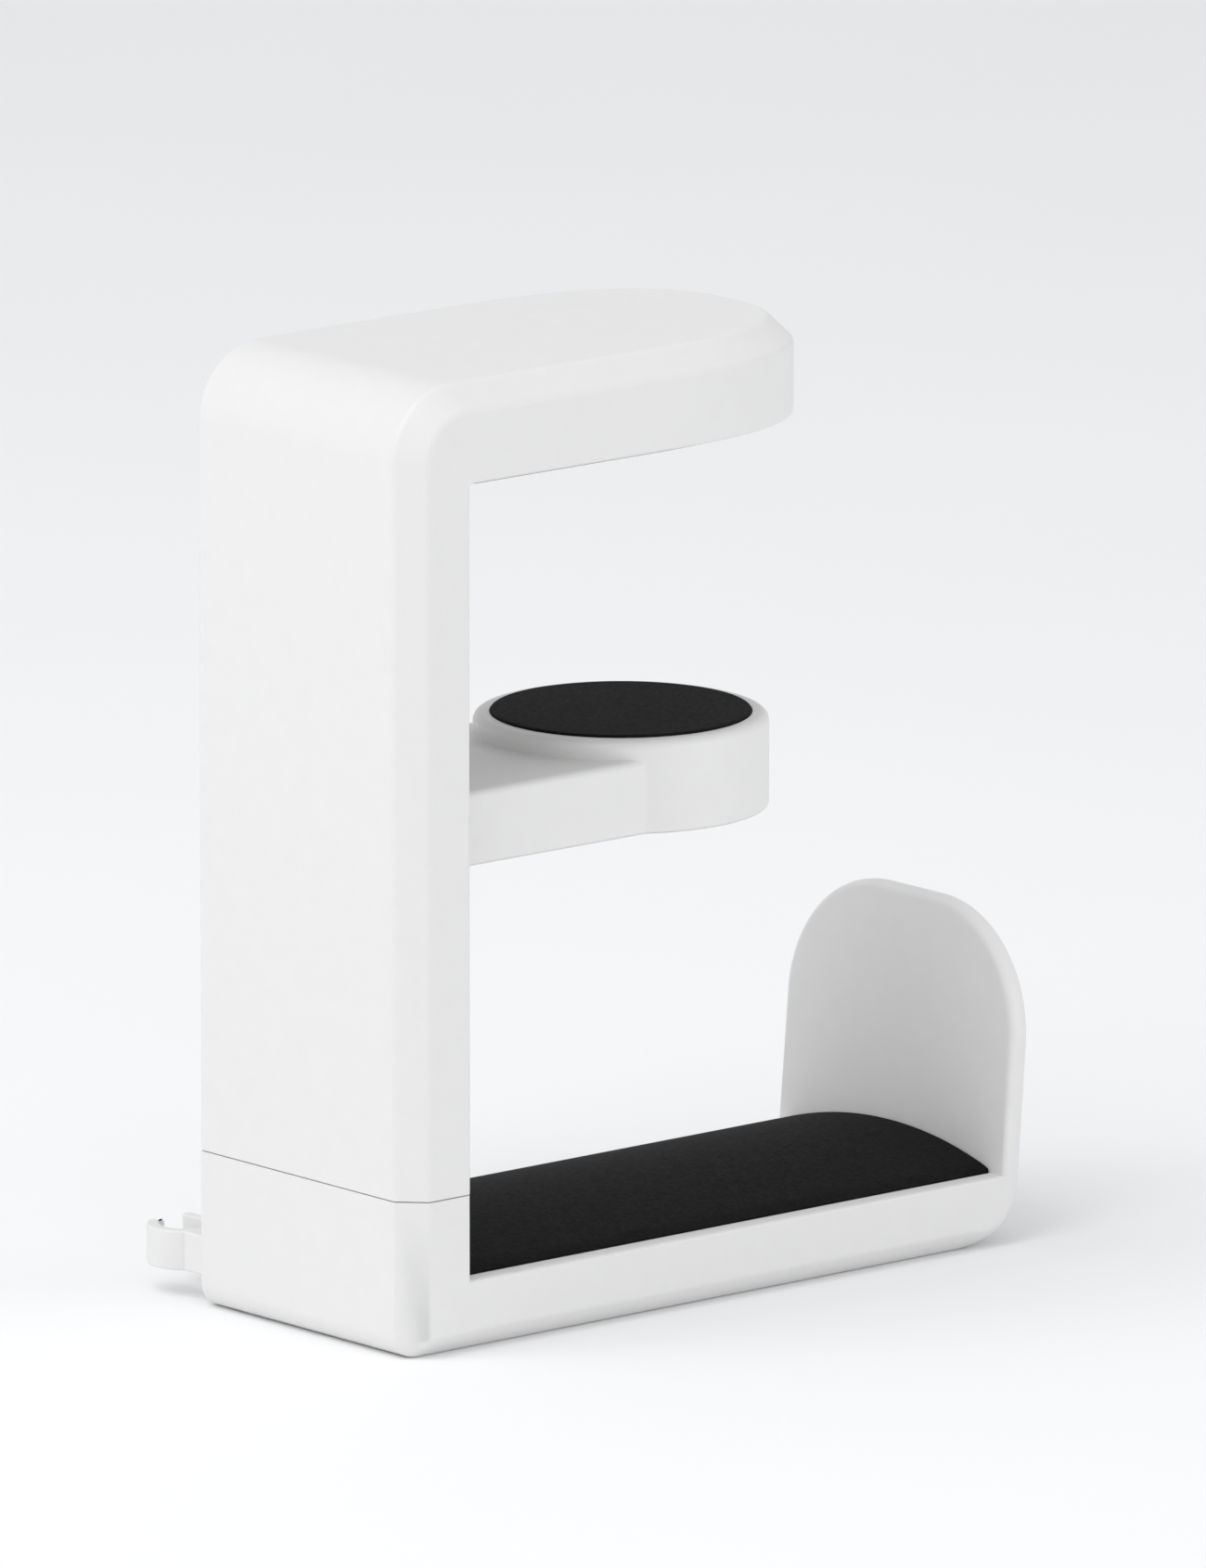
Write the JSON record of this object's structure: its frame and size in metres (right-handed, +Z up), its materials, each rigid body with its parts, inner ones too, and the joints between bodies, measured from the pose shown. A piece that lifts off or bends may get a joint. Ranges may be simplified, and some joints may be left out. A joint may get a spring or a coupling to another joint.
{
  "type": "clamp-on headphone hook",
  "caption": "Desk-edge clamp with a screw-driven lower jaw and a turning tray hook with padded rest, upright end plate and cable clip.",
  "frame": {"origin": "centre of the clamping axis on the upper pad's lower face, where the desk's top surface lies", "axes": "+Z up, +X from the column towards the jaw tips and over the desk, +Y across, towards the side with the cable clip"},
  "size_m": [0.0949, 0.0492, 0.112],
  "materials": {
    "shell_plastic": "fine satin texture",
    "pad_rubber": "matte",
    "inner_plastic": "moulded",
    "screw_steel": "zinc plated",
    "bush_bronze": "turned"
  },
  "bodies": {
    "clamp": {"clamp_frame": "shell_plastic", "column_cover": "shell_plastic", "column_screws": "screw_steel", "arm_cover": "inner_plastic", "arm_screws": "screw_steel", "upper_pad": "pad_rubber", "upper_bush": "bush_bronze", "lower_bush": "bush_bronze", "thrust_washer": "screw_steel"},
    "hook": {"hook_body": "shell_plastic", "tray_pad": "pad_rubber", "cable_clip": "shell_plastic", "lead_screw": "screw_steel", "base_washer": "screw_steel", "hook_washer": "screw_steel", "hook_screw": "screw_steel"},
    "jaw": {"jaw_arm": "shell_plastic", "jaw_cover": "shell_plastic", "jaw_pad": "pad_rubber", "jaw_carriage": "inner_plastic", "carriage_nut": "bush_bronze", "jaw_screws": "screw_steel"}
  },
  "joints": [
    {"name": "hook_turn", "type": "hinge", "parent": "clamp", "child": "hook", "pos_m": [-0.044, 0, -0.0818], "axis": [0, 0, 1], "range_deg": [-1440, 5220]},
    {"name": "jaw_slide", "type": "slide", "parent": "clamp", "child": "jaw", "axis": [0, 0, 1], "range_m": [-0.008, 0.029]}
  ],
  "couplings": [
    {"joint": "jaw_slide", "follows": "hook_turn", "m_per_rad": 0.00031831}
  ]
}
